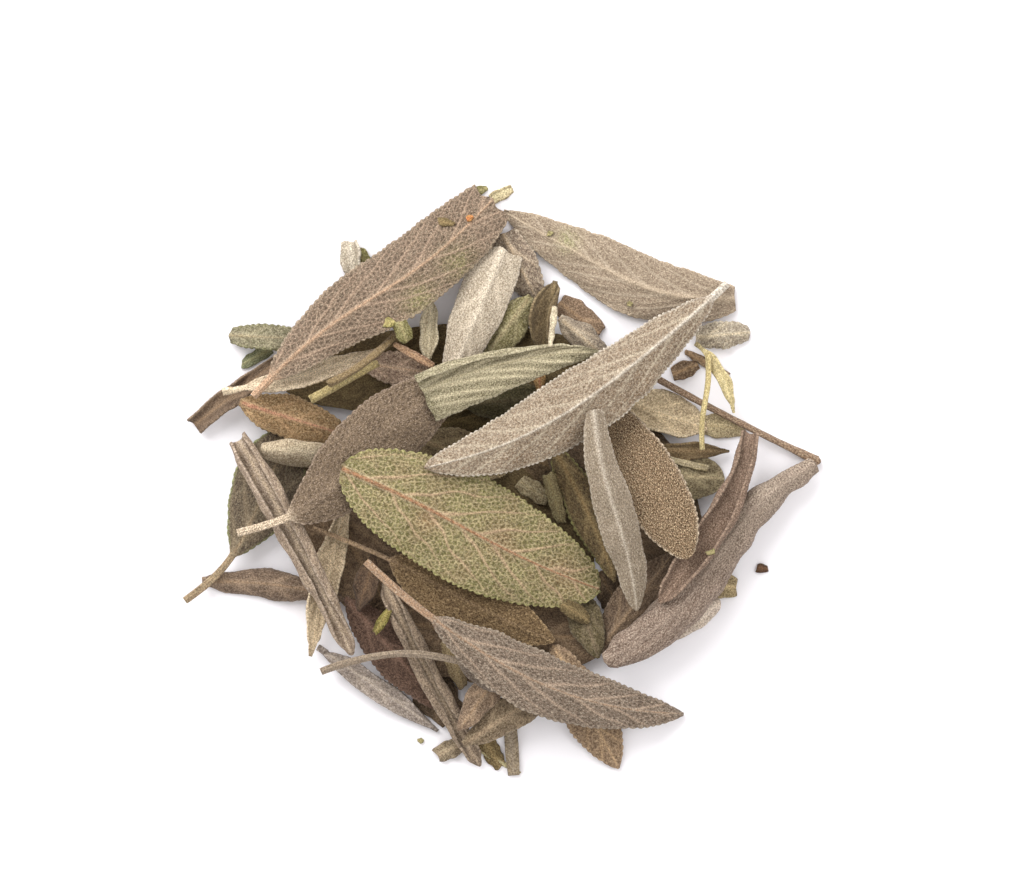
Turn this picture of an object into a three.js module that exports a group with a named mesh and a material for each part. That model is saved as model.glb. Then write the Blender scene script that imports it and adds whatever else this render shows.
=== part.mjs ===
// A loose heap of dried sage leaves, lying as poured out on a table, in millimetres with +Z up.
// Every leaf, loose stalk and twig is a solid of its own. Each one is drawn in plan, from the place of
// its base to the place of its tip, and is then let down onto what lies below it until it rests there.
import * as THREE from 'three';

// Driving dimensions
const BLADE_THICKNESS = 0.6; // a dried blade with its felt
const RIB_HEIGHT = 0.5; // how far the midrib stands out at the base of the blade
const RIB_REACH = 0.9; // from the middle of the midrib to its foot
const STALK_HALF_WIDTH = 0.65;
const TIP_HALF_WIDTH = 0.5;
const ROLL_RADIUS = 0.8; // the tightest that a margin scrolls
const GAP = 0.25; // left between a leaf and what it rests on
const MAX_LEAN = 0.34; // rise over run of a leaf that leans on its neighbours
const CELL = 0.5; // one cell of the map of heights that the leaves come down on
const MAP_REACH = 70; // from the middle of the map to its edges
const SAMPLE = 0.3; // spacing of the points that feel for contact
const LEAN_STEPS = 22; // halvings of the search for each slope

// Dried sage colours
const GREY = '#8d8070';
const BROWN = '#7a6353';
const TAWNY = '#85705a';
const OLIVE = '#6e5f40';
const GREEN = '#9b9b6e';
const PALE = '#b5aa95';
const STRAW = '#c4b68c';

// What a leaf is unless its line in the lists below says otherwise:
// width and length are those of the leaf laid flat; bow and sway bend it sideways in a C and in an S;
// from and to are where a torn blade starts and ends on the whole leaf's outline; fold is the slope of
// both halves at the midrib, up if positive; left and right are how far each margin then curls, in
// radians, less the share unroll at the tip; plain is the share of a half that stays plain before it
// curls; arch lifts the middle; roll turns the leaf about its midrib and twist goes on turning it from
// base to tip; stem is half the width of its stalk
const LEAF = {
  width: 6, widest: 0.48, fullness: 0.75, stalk: 0, from: 0, to: 1, bow: 0, sway: 0, arch: 1.3,
  fold: -0.1, left: -0.2, right: -0.2, plain: 0.2, roll: 0, twist: 0, wave: 0.25, waves: 2.5,
  scallop: 0.05, rib: 1, stations: 8, across: 4, stem: STALK_HALF_WIDTH, unroll: 0,
};
const MAIN = { stations: 17 };
const SCROLLED = { stations: 12, across: 8, scallop: 0, wave: 0, fold: 0 };
const FLAT = { arch: 0, fold: 0, left: 0, right: 0, wave: 0, rib: 0, flat: true };

// The leaves on the table under the heap, and those that stick out from it all round
const floorLeaves = [
  ['leaf_bed_centre', OLIVE, [-30, 6], [14, -14], { ...FLAT, width: 24, fullness: 0.6 }],
  ['leaf_bed_left', BROWN, [-39, 8], [-18, -27], { ...FLAT, width: 16, fullness: 0.6 }],
  ['leaf_bed_right', BROWN, [8, 16], [31, -19], { ...FLAT, width: 21, fullness: 0.6 }],
  ['leaf_bed_upper', OLIVE, [-40, 17], [16, 21], { ...FLAT, width: 15, fullness: 0.55 }],
  ['leaf_bed_lower', BROWN, [-25, -24], [17, -27.5], { ...FLAT, width: 18, fullness: 0.6 }],
  ['leaf_right_floor', GREY, [38.2, 31], [-1.5, 45.9],
    { ...MAIN, width: 10.8, bow: 3.3, sway: 0.8, from: 0.05, widest: 0.43, fullness: 0.72, arch: 1.6,
      wave: 0.4 }],
  ['leaf_left_floor', BROWN, [-53, -17.5], [-28.5, -20.5],
    { width: 6.2, bow: 1.1, arch: 0.8, left: -1.3, right: -1.3 }],
  ['leaf_dark_strip', BROWN, [-54.4, 9.3], [-36, 23.5],
    { width: 4.8, from: 0.3, fold: 0.35, left: 0.8, right: 0.8 }],
  ['leaf_green_scrap_left', GREEN, [-48.3, 24.7], [-36, 24.1],
    { width: 4.4, from: 0.15, to: 0.8, fold: 0.15 }],
  ['leaf_pale_curl', PALE, [-27.7, 41], [-26.4, 32],
    { width: 4.4, from: 0.2, left: 2.2, right: 0.3, arch: 0.3 }],
  ['leaf_brown_top', TAWNY, [-1.6, 42], [5, 29.5], { width: 6.4, from: 0.15, fullness: 0.6 }],
  ['leaf_scrap_right', GREY, [31, 24.3], [40.3, 25.2], { width: 4.6, from: 0.1, to: 0.85 }],
  ['leaf_olive_right', OLIVE, [24, 1], [36.4, 0.2], { width: 8.2, fullness: 0.52 }],
  ['scrap_olive_low', OLIVE, [30, -17.4], [38.6, -18.4], { width: 4.6, to: 0.85, fullness: 0.6 }],
  ['scrap_beige_low', PALE, [35.4, -21], [26.5, -27], { width: 3.6, from: 0.1, to: 0.9 }],
  ['leaf_scalloped', OLIVE, [6.9, -28], [18.3, -49.4],
    { width: 8.8, from: 0.05, widest: 0.56, stations: 16, scallop: 0.12, arch: 0.4 }],
  ['leaf_grey_strip', GREY, [-33.2, -28.6], [-12.6, -42.9], { width: 4.4, bow: 0.1, fold: 0.3, left: 0.7 }],
  ['leaf_scrap_bottom', OLIVE, [-13, -47.3], [-8.3, -45], { width: 3.2, from: 0.2, to: 0.8, arch: 0.2 }],
  ['stalk_bottom', STRAW, [-0.4, -41], [0.3, -50.6],
    { width: 2.4, from: 0.3, to: 0.7, fold: 0.2, arch: 0.2 }],
];

// The leaves, scraps and loose stalks that fill the heap
const middleLeaves = [
  ['leaf_olive_left', OLIVE, [-55.9, -20.7], [-37, 9.6],
    { ...MAIN, width: 11.8, bow: -2.4, sway: -0.8, stalk: 10.5, widest: 0.56, fullness: 0.66, arch: 1.4 }],
  ['leaf_orange_brown', TAWNY, [-46.4, 13.2], [-27.5, 7.4], { width: 7.4, fullness: 0.62, arch: 0.6 }],
  ['leaf_tan', STRAW, [-28.4, -5.5], [-34.3, -30.2],
    { width: 5.6, bow: -0.6, from: 0.08, fold: 0.25, left: 0.5, right: 0.5 }],
  ['leaf_dark_brown_lower', BROWN, [-28.4, -20], [-11.2, -39.6], { width: 8.2, left: 0.5, stations: 12 }],
  ['leaf_double_scroll', GREY, [-21.8, -17.5], [-5.4, -49],
    { ...SCROLLED, width: 9.6, bow: -0.5, left: 4.4, right: 4.4, plain: 0.25, fullness: 0.6 }],
  ['leaf_olive_bottom', OLIVE, [-8.2, -45.2], [9.5, -34], { width: 6, bow: 0.4, fullness: 0.7, to: 0.95 }],
  ['leaf_small_brown', TAWNY, [-0.6, -30.5], [-9.2, -42.8], { width: 5.2, fold: -0.25 }],
  ['leaf_grey_veined', GREY, [15, -29], [27.5, -12.5], { width: 8, fullness: 0.7, left: 0.2 }],
  ['leaf_olive_tip', OLIVE, [10.5, -18], [14.8, -30.4], { width: 5.8, fullness: 0.7 }],
  ['leaf_brown_scrap', TAWNY, [-25, 19.8], [-13.5, 18.2], { width: 5.8, from: 0.1, to: 0.85, fold: 0.2 }],
  ['leaf_small_pale', PALE, [-13.7, 31.5], [-14.4, 19.5], { width: 4.4, fold: 0.4, left: 0.8, right: 0.8 }],
  ['leaf_green_middle', GREEN, [3.2, 31.4], [-5, 20.6], { width: 6.4, to: 0.9, fold: -0.15 }],
  ['leaf_curled_top', OLIVE, [7.4, 34], [5, 21.5],
    { ...SCROLLED, stations: 9, width: 8, left: 4.2, right: 1.2, plain: 0.1 }],
  ['leaf_folded_top', TAWNY, [8, 27.6], [16.5, 20.5], { width: 6, fold: -0.7 }],
  ['leaf_dark_green', OLIVE, [-8.5, 13], [7, 14], { width: 6.6 }],
  ['leaf_olive_centre', OLIVE, [-16.5, 7.4], [-1, 1], { width: 8.4, stations: 12, scallop: 0.08 }],
  ['leaf_beige', PALE, [18.5, 13.6], [33.5, 8.6], { width: 8.2, right: 1.4, fullness: 0.65 }],
  ['leaf_dark_olive_right', OLIVE, [23, 5], [37.2, 4.9], { width: 3.6, left: 1.3, right: 1.3 }],
  ['leaf_small_twisted', BROWN, [-23.6, -12.8], [-26, -22.5], { width: 4.2, twist: 1.2, left: 0.6 }],
  ['leaf_pale_flat', PALE, [-49.3, 15.1], [-22.5, 22.4],
    { width: 4.4, stalk: 2.5, bow: -0.9, fold: 0.2, left: 0.6, right: 0.3, stations: 12 }],
  ['stalk_gap_lower', STRAW, [-34, 13.8], [-23, 19.8], { rod: 0.75, stations: 6, arch: 0.5 }],
  ['stalk_gap_upper', STRAW, [-31, 16.4], [-19, 25.6], { rod: 0.7, stations: 6, bow: -0.8 }],
  ['twig', '#8e735c', [24.5, 17.5], [52.5, 3.1], { rod: 0.6, stations: 10, bow: -0.3, arch: 0.5 }],
  ['leaf_curved_pale', STRAW, [31.4, 23.4], [37.9, 11.4],
    { width: 2.8, bow: 1, left: 1.2, right: 1.2, fold: 0.1 }],
  ['stalk_yellow', STRAW, [33.4, 21.4], [32.4, 5.4], { rod: 0.5, stations: 8, arch: 0.6, sway: 0.3 }],
];

// The leaves that lie over the rest, in the order that they came down
const topLeaves = [
  ['leaf_long_right', BROWN, [51.6, 2.6], [15.6, -30.8],
    { ...SCROLLED, width: 11.8, bow: 0.5, sway: -1.8, widest: 0.66, fullness: 0.42, from: 0.1,
      left: -2.2, right: -2.2, plain: 0.2, arch: 2.2, stations: 16, unroll: 0.1 }],
  ['leaf_curled_brown', BROWN, [40.6, 8], [25, -20.8],
    { ...SCROLLED, width: 10, bow: 2.3, sway: 0.4, widest: 0.55, fullness: 0.6, from: 0.1, plain: 0.28,
      left: 4.2, right: 3.4, unroll: 0.55 }],
  ['leaf_olive_felt', OLIVE, [-34, -8.2], [7.4, -27.5],
    { ...MAIN, width: 11, bow: 0.3, sway: 0.5, stalk: 14, stem: 0.4, widest: 0.46, arch: 1.8 }],
  ['leaf_pale_top', PALE, [-1.5, 39.4], [-11, 16],
    { ...MAIN, stations: 12, width: 9, from: 0.24, to: 0.96, fold: -0.2, fullness: 0.7 }],
  ['leaf_pale_roll', PALE, [-42.8, 5.2], [-29, 4.2],
    { ...SCROLLED, stations: 8, width: 7, left: -2.4, right: -1.6, plain: 0.1, fullness: 0.4 }],
  ['leaf_green_narrow', OLIVE, [6.6, 6], [17.6, -17.4],
    { width: 6.6, bow: 0.8, fold: -0.35, stations: 14 }],
  ['leaf_rolled_left', GREY, [-46.7, 7], [-27.2, -29.9],
    { ...SCROLLED, stations: 14, width: 10.4, bow: 0.7, fullness: 0.5, from: 0.06, widest: 0.42,
      left: 3, right: 2.7, plain: 0.26, arch: 2.5, unroll: -0.6 }],
  ['leaf_big_grey', TAWNY, [-43.9, 14.1], [-3.4, 47.8],
    { ...MAIN, width: 12.6, bow: 0, sway: 1.1, stalk: 4.2, to: 0.87, widest: 0.54, fullness: 0.5,
      fold: -0.08, arch: 3.5, wave: 0.5 }],
  ['leaf_long_stalk', GREY, [-32.6, -32.8], [1.6, -35.6],
    { width: 6, bow: 4.6, stalk: 23, arch: 1.4, stations: 12 }],
  ['leaf_grey_brown', GREY, [-46.6, -9], [-7, 16.6],
    { ...MAIN, width: 13.4, bow: -1, sway: -1.9, stalk: 8.6, fullness: 0.66, fold: -0.12, arch: 3 }],
  ['leaf_brown_felt', TAWNY, [14, 17], [30.1, -13.2],
    { ...MAIN, width: 10.8, bow: 0.2, widest: 0.62, fullness: 0.56, fold: -0.1, arch: 2.6 }],
  ['leaf_lower_long', GREY, [-24.8, -13.8], [29.4, -40],
    { ...MAIN, width: 10.4, bow: -5.6, sway: 0.5, stalk: 14, fullness: 0.7, fold: -0.14, arch: 4,
      wave: 0.4 }],
  ['leaf_rolled_green', GREEN, [-15.2, 15], [15.4, 21.8],
    { ...SCROLLED, stations: 12, width: 11.2, bow: 1.6, from: 0.36, widest: 0.4, fullness: 0.8,
      left: 3.4, right: -0.4, plain: 0.3, roll: -0.15, arch: 2 }],
  ['leaf_green_broad', GREEN, [-28.8, 2], [15, -18.7],
    { ...MAIN, stations: 18, across: 6, width: 18.6, bow: -0.3, sway: 0.4, widest: 0.47, fullness: 0.5,
      fold: 0.04, left: -0.25, right: -0.25, arch: 3.2, wave: 0.5 }],
  ['leaf_centre_long', PALE, [36.7, 33.6], [-14.8, 2.1],
    { ...MAIN, stations: 18, width: 12.8, bow: 4.4, sway: -0.6, stalk: 3, widest: 0.52, fullness: 0.66,
      fold: -0.42, left: -0.15, right: -0.15, arch: 5, wave: 0.3 }],
  ['leaf_narrow_light', PALE, [13.8, 11.8], [21.3, -22.2],
    { ...MAIN, stations: 16, width: 7.2, bow: -0.2, sway: -0.5, from: 0.14, widest: 0.6, fullness: 0.6,
      fold: -0.38, arch: 3.2 }],
];

function clamp(value, low, high) {
  return Math.max(low, Math.min(high, value));
}

function leafLength(leaf) {
  return Math.hypot(leaf.tip[0] - leaf.base[0], leaf.tip[1] - leaf.base[1]);
}

// Half the flat width at share u of the length: a stalk, then the blade's outline
function halfWidth(leaf, u) {
  if (leaf.rod) return leaf.rod;
  const start = leaf.stalk / leafLength(leaf);
  if (u < start) return leaf.stem;
  const along = leaf.from + ((leaf.to - leaf.from) * (u - start)) / (1 - start);
  const skew = Math.log(0.5) / Math.log(leaf.widest);
  const outline = Math.sin(Math.PI * along ** skew);
  const blade = (leaf.width / 2) * Math.max(outline, 0) ** leaf.fullness;
  return Math.max(u < 0.5 ? leaf.stem : TIP_HALF_WIDTH, blade);
}

// Where a point of the cross-section at share u lies, t running from -1 at the right margin to 1 at the left
function crossSection(leaf, u, t, half) {
  const side = t < 0 ? -1 : 1;
  const out = Math.abs(t);
  const bending = half * (1 - leaf.plain);
  const tightest = bending / ROLL_RADIUS;
  const wound = (side > 0 ? leaf.left : leaf.right) * (1 - leaf.unroll * u);
  const curl = clamp(wound, -tightest, tightest);
  const run = Math.min(out, leaf.plain) * half;
  const share = Math.max(out - leaf.plain, 0) / (1 - leaf.plain);
  const angle = leaf.fold + curl * share;
  const radius = Math.abs(curl) > 1e-6 ? bending / curl : 0;
  const level = Math.cos(leaf.fold);
  const steep = Math.sin(leaf.fold);
  const ahead = radius ? radius * (Math.sin(angle) - steep) : bending * share * level;
  const above = radius ? radius * (level - Math.cos(angle)) : bending * share * steep;
  return {
    y: side * (run * level + ahead),
    z: run * steep + above,
    tilt: out < 1e-6 ? 0 : side * angle,
  };
}

// Half the thickness above and below the middle of the blade
function halfThickness(leaf, u, t, half) {
  if (leaf.rod) return leaf.rod * Math.max(0.4, Math.sqrt(1 - t * t));
  const foot = (Math.abs(t) * half) / RIB_REACH;
  const rib = leaf.rib * RIB_HEIGHT * (1 - 0.8 * u) * Math.max(0, 1 - foot * foot);
  return BLADE_THICKNESS / 2 + rib / 2;
}

// A point of the upper face (face 1) or the under face (face -1), with +X from base to tip
function leafPoint(leaf, u, t, face, widen) {
  const length = leafLength(leaf);
  const half = halfWidth(leaf, u) * widen;
  const section = crossSection(leaf, u, t, half);
  const flutter = leaf.wave * t * t * Math.sin(2 * Math.PI * leaf.waves * u + Math.sign(t));
  const lift = face * halfThickness(leaf, u, t, half) + (leaf.rod ? 0 : flutter);
  const across = section.y - Math.sin(section.tilt) * lift;
  const above = section.z + Math.cos(section.tilt) * lift;
  const turn = leaf.roll + leaf.twist * (u - 0.5);
  const y = across * Math.cos(turn) - above * Math.sin(turn);
  const z = across * Math.sin(turn) + above * Math.cos(turn);
  const hump = 4 * u * (1 - u);
  const drift = leaf.bow * hump + leaf.sway * Math.sin(2 * Math.PI * u);
  const slope = leaf.bow * 4 * (1 - 2 * u) + leaf.sway * 2 * Math.PI * Math.cos(2 * Math.PI * u);
  const heading = Math.atan2(slope, length);
  return [
    length * u - Math.sin(heading) * y,
    drift + Math.cos(heading) * y,
    leaf.arch * hump + z,
  ];
}

// Cross-sections along the leaf, closer at both ends of the blade, with two for the stalk
function stationShares(leaf) {
  const start = leaf.stalk / leafLength(leaf);
  const shares = start > 0 ? [0, start / 2] : [];
  for (let i = 0; i <= leaf.stations; i += 1) {
    const even = i / leaf.stations;
    const eased = (1 - Math.cos(Math.PI * even)) / 2;
    shares.push(start + (1 - start) * (even + eased) * 0.5);
  }
  return shares;
}

// The solid of one leaf: an upper and an under face split into triangles alike, a rim and two ends
function leafGeometry(leaf) {
  const shares = stationShares(leaf);
  const rows = shares.length;
  const columns = leaf.across + 1;
  const positions = [];
  for (const face of [1, -1]) {
    shares.forEach((u, row) => {
      const inner = row > 0 && row < rows - 1;
      const widen = inner && !leaf.rod ? 1 + leaf.scallop * (row % 2 ? 0.5 : -0.5) : 1;
      for (let column = 0; column < columns; column += 1) {
        positions.push(...leafPoint(leaf, u, (2 * column) / leaf.across - 1, face, widen));
      }
    });
  }
  const under = rows * columns;
  const faces = [];
  const quad = (a, b, c, d) => faces.push(a, b, c, a, c, d);
  for (let row = 0; row < rows - 1; row += 1) {
    const first = row * columns;
    const next = first + columns;
    for (let column = 0; column < columns - 1; column += 1) {
      const a = first + column;
      const b = next + column;
      faces.push(a, b, b + 1, a, b + 1, a + 1);
      faces.push(a + under, b + 1 + under, b + under, a + under, a + 1 + under, b + 1 + under);
    }
    const last = columns - 1;
    quad(first + under, next + under, next, first);
    quad(first + last, next + last, next + last + under, first + last + under);
  }
  const end = (rows - 1) * columns;
  for (let column = 0; column < columns - 1; column += 1) {
    quad(column + under, column, column + 1, column + 1 + under);
    quad(end + column + 1 + under, end + column + 1, end + column, end + column + under);
  }
  const geometry = new THREE.BufferGeometry();
  geometry.setAttribute('position', new THREE.Float32BufferAttribute(positions, 3));
  geometry.setIndex(faces);
  return geometry;
}

// The map of heights: the top of what lies there already, cell by cell
const side = Math.round((2 * MAP_REACH) / CELL);
const pile = new Float64Array(side * side).fill(-GAP);

function cellOf(x, y) {
  const column = Math.floor((x + MAP_REACH) / CELL);
  const row = Math.floor((y + MAP_REACH) / CELL);
  return row * side + column;
}

function highestAround(cell) {
  let highest = -Infinity;
  for (let row = -1; row <= 1; row += 1) {
    for (let column = -1; column <= 1; column += 1) {
      highest = Math.max(highest, pile[cell + row * side + column]);
    }
  }
  return highest;
}

// Each cell that a leaf covers, with its place along and across the leaf and the leaf's low and high there
function footprint(leaf, geometry) {
  const heading = Math.atan2(leaf.tip[1] - leaf.base[1], leaf.tip[0] - leaf.base[0]);
  const middle = leafLength(leaf) / 2;
  const position = geometry.getAttribute('position');
  const corners = geometry.getIndex().array;
  const covered = new Map();
  const point = new THREE.Vector3();
  const [a, b, c] = [new THREE.Vector3(), new THREE.Vector3(), new THREE.Vector3()];
  for (let i = 0; i < corners.length; i += 3) {
    a.fromBufferAttribute(position, corners[i]);
    b.fromBufferAttribute(position, corners[i + 1]);
    c.fromBufferAttribute(position, corners[i + 2]);
    const longest = Math.max(a.distanceTo(b), b.distanceTo(c), c.distanceTo(a));
    const steps = Math.max(1, Math.ceil(longest / SAMPLE));
    for (let m = 0; m <= steps; m += 1) {
      for (let n = 0; n <= steps - m; n += 1) {
        point.copy(a).multiplyScalar(1 - (m + n) / steps);
        point.addScaledVector(b, m / steps).addScaledVector(c, n / steps);
        const x = leaf.base[0] + Math.cos(heading) * point.x - Math.sin(heading) * point.y;
        const y = leaf.base[1] + Math.sin(heading) * point.x + Math.cos(heading) * point.y;
        const cell = cellOf(x, y);
        const known = covered.get(cell);
        if (!known) {
          covered.set(cell, { along: point.x - middle, across: point.y, low: point.z, high: point.z });
        } else {
          known.low = Math.min(known.low, point.z);
          known.high = Math.max(known.high, point.z);
        }
      }
    }
  }
  return covered;
}

// The lowest value of a function of one slope that falls and then rises
function lowestSlope(cost) {
  const golden = (Math.sqrt(5) - 1) / 2;
  let low = -MAX_LEAN;
  let high = MAX_LEAN;
  for (let i = 0; i < LEAN_STEPS; i += 1) {
    const left = high - golden * (high - low);
    const right = low + golden * (high - low);
    if (cost(left) < cost(right)) high = right;
    else low = left;
  }
  return (low + high) / 2;
}

// Lets a leaf down until it touches, leaning as far as brings its middle lowest
function settle(leaf, geometry) {
  const covered = footprint(leaf, geometry);
  const spots = [...covered].map(
    ([cell, spot]) => ({ ...spot, need: highestAround(cell) + GAP - spot.low }),
  );
  const height = (lean, cant) => spots.reduce(
    (most, spot) => Math.max(most, spot.need - lean * spot.along - cant * spot.across), -Infinity,
  );
  const bestCant = (lean) => lowestSlope((cant) => height(lean, cant));
  const lean = leaf.flat ? 0 : lowestSlope((slope) => height(slope, bestCant(slope)));
  const cant = leaf.flat ? 0 : bestCant(lean);
  const rise = height(lean, cant);
  const middle = leafLength(leaf) / 2;
  const position = geometry.getAttribute('position');
  for (let i = 0; i < position.count; i += 1) {
    const slant = lean * (position.getX(i) - middle) + cant * position.getY(i);
    position.setZ(i, position.getZ(i) + slant);
  }
  for (const [cell, spot] of covered) {
    pile[cell] = Math.max(pile[cell], spot.high + rise + lean * spot.along + cant * spot.across);
  }
  return rise;
}

function leafMesh([name, color, base, tip, shape]) {
  const leaf = { ...LEAF, ...shape, base, tip };
  const geometry = leafGeometry(leaf);
  const rise = settle(leaf, geometry);
  const material = new THREE.MeshStandardMaterial({ color, roughness: 0.9, metalness: 0 });
  const mesh = new THREE.Mesh(geometry, material);
  mesh.name = name;
  mesh.position.set(base[0], base[1], rise);
  mesh.rotation.z = Math.atan2(tip[1] - base[1], tip[0] - base[0]);
  return mesh;
}

const heap = new THREE.Group();
for (const line of [...floorLeaves, ...middleLeaves, ...topLeaves]) heap.add(leafMesh(line));

// The origin is on the table, in the middle of the heap's box
const middle = new THREE.Box3().setFromObject(heap, true).getCenter(new THREE.Vector3());
heap.position.set(-middle.x, -middle.y, 0);

const sage = new THREE.Group();
sage.add(heap);

export default sage;
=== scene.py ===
import math

import bpy
import numpy as np
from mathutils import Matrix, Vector, bvhtree, kdtree


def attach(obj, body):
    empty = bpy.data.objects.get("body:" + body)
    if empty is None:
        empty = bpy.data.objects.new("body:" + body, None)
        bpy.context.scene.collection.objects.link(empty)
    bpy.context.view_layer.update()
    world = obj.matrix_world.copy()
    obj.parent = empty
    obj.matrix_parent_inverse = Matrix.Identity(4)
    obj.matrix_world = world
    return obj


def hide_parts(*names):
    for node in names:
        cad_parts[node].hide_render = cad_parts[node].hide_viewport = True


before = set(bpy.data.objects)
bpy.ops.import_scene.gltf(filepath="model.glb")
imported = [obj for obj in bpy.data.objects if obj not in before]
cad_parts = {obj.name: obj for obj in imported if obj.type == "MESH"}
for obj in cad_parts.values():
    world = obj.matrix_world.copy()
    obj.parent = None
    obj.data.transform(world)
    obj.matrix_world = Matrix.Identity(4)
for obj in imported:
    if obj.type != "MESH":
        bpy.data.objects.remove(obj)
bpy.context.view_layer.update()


# The white table, the light and the camera
# The heap was poured out on a plain white laminate table, lit by large soft lights in a white
# room, and is seen from straight above.
MM = 0.001
TABLE_SIZE = 3.0
CAMERA_X, CAMERA_Y, CAMERA_HEIGHT = 1.801 * MM, 5.49 * MM, 1.1
VIEW_WIDTH, VIEW_LEVEL, SENSOR = 174.08 * MM, 8 * MM, 36.0
ROOM_LIGHT = 0.92


def linear(colour):
    """The linear value, with alpha, of an sRGB hex colour"""
    parts = [int(colour[i:i + 2], 16) / 255 for i in (1, 3, 5)]
    values = [p / 12.92 if p <= 0.04045 else ((p + 0.055) / 1.055) ** 2.4 for p in parts]
    return (*values, 1.0)


def add_node(tree, kind, inputs=(), **settings):
    """A node of that kind with its settings, its inputs given as numbers or as sockets to link"""
    made = tree.nodes.new(kind)
    for key, value in settings.items():
        setattr(made, key, value)
    for socket, value in dict(inputs).items():
        if isinstance(value, bpy.types.NodeSocket):
            tree.links.new(value, made.inputs[socket])
        else:
            made.inputs[socket].default_value = value
    return made


bpy.ops.object.select_all(action="DESELECT")
bpy.ops.mesh.primitive_plane_add(size=TABLE_SIZE, location=(0, 0, 0))
table = bpy.context.object
table.name = "table_top"
# Matt white laminate: an even white that takes soft shadows and shows no shine
white_laminate = bpy.data.materials.new("white_laminate")
white_laminate.use_nodes = True
laminate_shader = white_laminate.node_tree.nodes["Principled BSDF"]
laminate_shader.inputs["Base Color"].default_value = linear("#f6f4f8")
laminate_shader.inputs["Roughness"].default_value = 0.9
laminate_shader.inputs["Specular IOR Level"].default_value = 0.1
table.data.materials.append(white_laminate)

room = bpy.data.worlds.new("white_room")
bpy.context.scene.world = room
room.use_nodes = True
room.node_tree.nodes["Background"].inputs["Color"].default_value = linear("#fffdfb")
room.node_tree.nodes["Background"].inputs["Strength"].default_value = ROOM_LIGHT


def soft_light(name, place, size, power):
    """A round soft lamp that shines on the heap"""
    bpy.ops.object.light_add(type="AREA", location=place)
    lamp = bpy.context.object
    lamp.name = name
    lamp.data.shape = "DISK"
    lamp.data.size = size
    lamp.data.energy = power
    lamp.rotation_euler = lamp.location.to_track_quat("Z", "Y").to_euler()


soft_light("soft_box_upper_left", (-0.6, 0.9, 0.8), size=1.3, power=22)
soft_light("soft_box_right", (0.9, 0.1, 0.9), size=0.6, power=4)

bpy.ops.object.camera_add(location=(CAMERA_X, CAMERA_Y, CAMERA_HEIGHT), rotation=(0, 0, 0))
camera = bpy.context.object
camera.data.sensor_width = SENSOR
camera.data.lens = SENSOR * (CAMERA_HEIGHT - VIEW_LEVEL) / VIEW_WIDTH
bpy.context.scene.camera = camera
bpy.context.scene.view_settings.view_transform = "Standard"


# The leaves that lie flat on the table under the heap
# Dried sage blades, pressed flat by the leaves on them. Only dark parts of them show through the gaps,
# and they get painted shade that darkens them towards an unlit brown. What every leaf has in common,
# its form, its relief and its finish, is set out here first.
BLADE_THICKNESS, SHOWN_THICKNESS = 0.6, 0.42
RIB_HEIGHT, RIB_REACH = 0.5, 0.9
TIP_HALF_WIDTH, FINE_TIP = 0.5, 0.18
ROLL_RADIUS, TINY = 0.8, 1e-6
# Of any leaf: its width and stalk, the side bow, the sway, the arch and the wave of its margins in mm,
# its fold, twist, roll and how far each half curls up in radians, and the rest as shares. A torn piece
# starts and ends at cut_base and cut_tip of a whole blade's outline.
LEAF = dict(
    width=6, widest=0.48, fullness=0.75, stalk=0, cut_base=0, cut_tip=1, bow=0, sway=0, arch=1.3,
    fold=-0.1, left=-0.2, right=-0.2, plain=0.2, roll=0, twist=0, wave=0.25, waves=2.5,
    scallop=0.05, rib=1, stations=8, across=4, stem=0.65, unroll=0, rod=0,
)
FLAT = dict(arch=0, fold=0, left=0, right=0, wave=0, rib=0)


def leaf_length(form):
    """From the base of the stalk to the tip, in mm"""
    return math.dist(form["base"], form["tip"])


def half_width(form, u, tip_half):
    """Half the flat width at share u of the length: a stalk, then the blade's outline"""
    if form["rod"]:
        return np.full_like(u, form["rod"])
    start = form["stalk"] / leaf_length(form)
    share = np.clip((u - start) / (1 - start), 0, 1)
    along = form["cut_base"] + (form["cut_tip"] - form["cut_base"]) * share
    outline = np.sin(np.pi * along ** (math.log(0.5) / math.log(form["widest"])))
    blade = form["width"] / 2 * np.maximum(outline, 0) ** form["fullness"]
    blade = np.maximum(np.where(u < 0.5, form["stem"], tip_half), blade)
    return np.where(u < start, form["stem"], blade)


def cross_section(form, u, t, half):
    """Where a point of the cross-section lies, t from -1 at the right margin to 1 at the left one"""
    side = np.where(t < 0, -1.0, 1.0)
    out = np.abs(t)
    fold, plain = form["fold"], form["plain"]
    bending = half * (1 - plain)
    tightest = bending / ROLL_RADIUS
    wound = np.where(side > 0, form["left"], form["right"]) * (1 - form["unroll"] * u)
    curl = np.clip(wound, -tightest, tightest)
    curled = np.abs(curl) > TINY
    radius = bending / np.where(curled, curl, 1.0)
    run = np.minimum(out, plain) * half
    share = np.maximum(out - plain, 0) / (1 - plain)
    angle = fold + curl * share
    straight = bending * share
    ahead = np.where(curled, radius * (np.sin(angle) - math.sin(fold)), straight * math.cos(fold))
    above = np.where(curled, radius * (math.cos(fold) - np.cos(angle)), straight * math.sin(fold))
    y = side * (run * math.cos(fold) + ahead)
    z = run * math.sin(fold) + above
    return y, z, np.where(out < TINY, 0.0, side * angle)


def half_thickness(form, u, t, half):
    """Half the thickness of the solid: a round stalk, or a blade with its midrib"""
    if form["rod"]:
        return form["rod"] * np.maximum(0.4, np.sqrt(np.maximum(1 - t * t, 0)))
    foot = np.abs(t) * half / RIB_REACH
    rib = form["rib"] * RIB_HEIGHT * (1 - 0.8 * u) * np.maximum(0, 1 - foot * foot)
    return BLADE_THICKNESS / 2 + rib / 2


def margin_wave(form, u, t):
    """How far the margins wave up and down along the leaf"""
    return form["wave"] * t * t * np.sin(2 * np.pi * form["waves"] * u + np.sign(t))


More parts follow.
